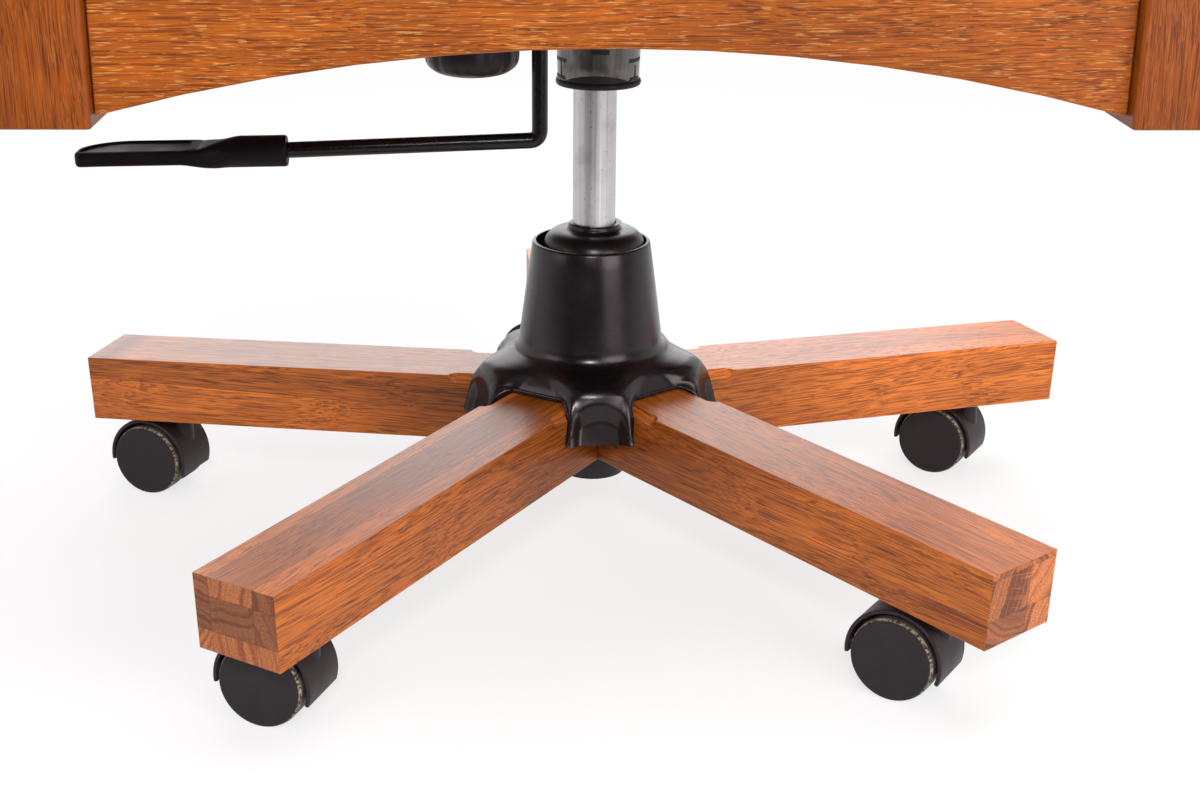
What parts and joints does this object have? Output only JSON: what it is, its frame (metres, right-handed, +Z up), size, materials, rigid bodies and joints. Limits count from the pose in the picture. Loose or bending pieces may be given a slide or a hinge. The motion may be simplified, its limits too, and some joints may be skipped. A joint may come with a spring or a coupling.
{
  "type": "bankers swivel chair",
  "caption": "Wooden office armchair with flat arms and a slatted back on a tilting gas-lift swivel; mitred wooden arms under a lobed hub cover carry hooded casters.",
  "frame": {"origin": "centre of the footprint's bounding box, on the floor under the caster wheels", "axes": "+Z up, the sitter faces -Y, the lift lever reaches towards -X"},
  "size_m": [0.7082, 0.676, 0.9953],
  "materials": {
    "oak_base": "satin varnish over oak strips, reddish brown",
    "oak_frame": "satin varnish over oak, orange brown",
    "caster_wheel": "matt, treads worn to a dusty tan edge",
    "caster_hood": "satin black",
    "cover_plastic": "satin black moulding",
    "cap_plastic": "glossy black moulding",
    "knob_plastic": "satin black",
    "handle_plastic": "satin black moulding",
    "bush_plastic": "matt",
    "socket_steel": "plain rolled steel",
    "column_paint": "black paint, satin",
    "cylinder_steel": "dull, streaked along its length, a few pits",
    "bright_steel": "bright turned steel",
    "spring_steel": "oiled spring steel",
    "housing_steel": "dark, grimy steel",
    "plate_paint": "black paint, satin",
    "lever_paint": "black paint, satin",
    "plywood": "bare plywood",
    "leather": "dark brown leather, satin"
  },
  "bodies": {
    "base": {"base_arm_1": "oak_base", "base_arm_2": "oak_base", "base_arm_3": "oak_base", "base_arm_4": "oak_base", "base_arm_5": "oak_base", "hub_socket": "socket_steel", "hub_cover": "cover_plastic", "dust_cap": "cap_plastic", "lift_column": "column_paint", "guide_bush": "bush_plastic", "thrust_bearing": "bright_steel"},
    "lift_rod": {"piston_rod": "bright_steel", "retaining_clip": "bright_steel"},
    "lift": {"gas_cylinder": "cylinder_steel", "tilt_housing": "housing_steel", "tension_spring": "spring_steel"},
    "release_pin": {"release_pin": "bright_steel"},
    "lever": {"lever_rod": "lever_paint", "lever_handle": "handle_plastic"},
    "seat": {"seat_plate": "plate_paint", "tilt_pivot_pin": "bright_steel", "tension_bolt": "bright_steel", "front_post_left": "oak_frame", "front_post_right": "oak_frame", "rear_post_left": "oak_frame", "rear_post_right": "oak_frame", "side_rail_left": "oak_frame", "side_rail_right": "oak_frame", "front_rail": "oak_frame", "rear_rail": "oak_frame", "seat_batten_front": "oak_frame", "seat_batten_rear": "oak_frame", "seat_board": "plywood", "seat_cushion": "leather", "armrest_left": "oak_frame", "armrest_right": "oak_frame", "crest_rail": "oak_frame", "lower_back_rail": "oak_frame", "back_slat_1": "oak_frame", "back_slat_2": "oak_frame", "back_slat_3": "oak_frame", "back_slat_4": "oak_frame", "back_slat_5": "oak_frame"},
    "tension_knob": {"tension_knob": "knob_plastic"},
    "caster_1": {"caster_hood_1": "caster_hood"},
    "caster_wheel_1_left": {"caster_wheel_1_left": "caster_wheel"},
    "caster_wheel_1_right": {"caster_wheel_1_right": "caster_wheel"},
    "caster_2": {"caster_hood_2": "caster_hood"},
    "caster_wheel_2_left": {"caster_wheel_2_left": "caster_wheel"},
    "caster_wheel_2_right": {"caster_wheel_2_right": "caster_wheel"},
    "caster_3": {"caster_hood_3": "caster_hood"},
    "caster_wheel_3_left": {"caster_wheel_3_left": "caster_wheel"},
    "caster_wheel_3_right": {"caster_wheel_3_right": "caster_wheel"},
    "caster_4": {"caster_hood_4": "caster_hood"},
    "caster_wheel_4_left": {"caster_wheel_4_left": "caster_wheel"},
    "caster_wheel_4_right": {"caster_wheel_4_right": "caster_wheel"},
    "caster_5": {"caster_hood_5": "caster_hood"},
    "caster_wheel_5_left": {"caster_wheel_5_left": "caster_wheel"},
    "caster_wheel_5_right": {"caster_wheel_5_right": "caster_wheel"}
  },
  "joints": [
    {"name": "seat_swivel", "type": "hinge", "parent": "base", "child": "lift_rod", "pos_m": [0.00013, -0.02306, 0.15], "axis": [0, 0, 1], "continuous": true},
    {"name": "seat_height", "type": "slide", "parent": "lift_rod", "child": "lift", "axis": [0, 0, 1], "range_m": [-0.08, 0.02]},
    {"name": "lift_lever", "type": "hinge", "parent": "lift", "child": "lever", "pos_m": [-0.03687, -0.04306, 0.38272], "axis": [0, 1, 0], "range_deg": [0, 5.2], "stiffness_Nm_per_rad": 2, "springref_deg": -2.86},
    {"name": "pin_press", "type": "slide", "parent": "lift", "child": "release_pin", "axis": [0, 0, 1], "range_m": [-0.0037, 0]},
    {"name": "seat_tilt", "type": "hinge", "parent": "lift", "child": "seat", "pos_m": [0.00013, -0.06806, 0.36247], "axis": [-1, 0, 0], "range_deg": [0, 12], "stiffness_Nm_per_rad": 140, "springref_deg": -17.19, "deforming": ["tension_spring"]},
    {"name": "tension_adjust", "type": "hinge", "parent": "seat", "child": "tension_knob", "pos_m": [-0.07637, -0.11106, 0.345], "axis": [0, 0, 1], "range_deg": [-360, 720]},
    {"name": "caster_1_swivel", "type": "hinge", "parent": "base", "child": "caster_1", "pos_m": [0.18874, -0.26275, 0.06], "axis": [0, 0, 1], "continuous": true},
    {"name": "caster_wheel_1_left_spin", "type": "hinge", "parent": "caster_1", "child": "caster_wheel_1_left", "pos_m": [0.17277, -0.25156, 0.0255], "axis": [0.5736, 0.8192, 0], "continuous": true},
    {"name": "caster_wheel_1_right_spin", "type": "hinge", "parent": "caster_1", "child": "caster_wheel_1_right", "pos_m": [0.17277, -0.25156, 0.0255], "axis": [0.5736, 0.8192, 0], "continuous": true},
    {"name": "caster_2_swivel", "type": "hinge", "parent": "base", "child": "caster_2", "pos_m": [0.28637, 0.08226, 0.06], "axis": [0, 0, 1], "continuous": true},
    {"name": "caster_wheel_2_left_spin", "type": "hinge", "parent": "caster_2", "child": "caster_wheel_2_left", "pos_m": [0.27001, 0.09288, 0.0255], "axis": [0.5446, 0.8387, 0], "continuous": true},
    {"name": "caster_wheel_2_right_spin", "type": "hinge", "parent": "caster_2", "child": "caster_wheel_2_right", "pos_m": [0.27001, 0.09288, 0.0255], "axis": [0.5446, 0.8387, 0], "continuous": true},
    {"name": "caster_3_swivel", "type": "hinge", "parent": "base", "child": "caster_3", "pos_m": [-0.01158, 0.28172, 0.06], "axis": [0, 0, 1], "continuous": true},
    {"name": "caster_wheel_3_left_spin", "type": "hinge", "parent": "caster_3", "child": "caster_wheel_3_left", "pos_m": [-0.02847, 0.29147, 0.0255], "axis": [0.5, 0.866, 0], "continuous": true},
    {"name": "caster_wheel_3_right_spin", "type": "hinge", "parent": "caster_3", "child": "caster_wheel_3_right", "pos_m": [-0.02847, 0.29147, 0.0255], "axis": [0.5, 0.866, 0], "continuous": true},
    {"name": "caster_4_swivel", "type": "hinge", "parent": "base", "child": "caster_4", "pos_m": [-0.29335, 0.05999, 0.06], "axis": [0, 0, 1], "continuous": true},
    {"name": "caster_wheel_4_left_spin", "type": "hinge", "parent": "caster_4", "child": "caster_wheel_4_left", "pos_m": [-0.31143, 0.06729, 0.0255], "axis": [0.3746, 0.9272, 0], "continuous": true},
    {"name": "caster_wheel_4_right_spin", "type": "hinge", "parent": "caster_4", "child": "caster_wheel_4_right", "pos_m": [-0.31143, 0.06729, 0.0255], "axis": [0.3746, 0.9272, 0], "continuous": true},
    {"name": "caster_5_swivel", "type": "hinge", "parent": "base", "child": "caster_5", "pos_m": [-0.16955, -0.27651, 0.06], "axis": [0, 0, 1], "continuous": true},
    {"name": "caster_wheel_5_left_spin", "type": "hinge", "parent": "caster_5", "child": "caster_wheel_5_left", "pos_m": [-0.18775, -0.26952, 0.0255], "axis": [0.3584, 0.9336, 0], "continuous": true},
    {"name": "caster_wheel_5_right_spin", "type": "hinge", "parent": "caster_5", "child": "caster_wheel_5_right", "pos_m": [-0.18775, -0.26952, 0.0255], "axis": [0.3584, 0.9336, 0], "continuous": true}
  ],
  "couplings": [
    {"joint": "pin_press", "follows": "lift_lever", "m_per_rad": -0.0405}
  ]
}
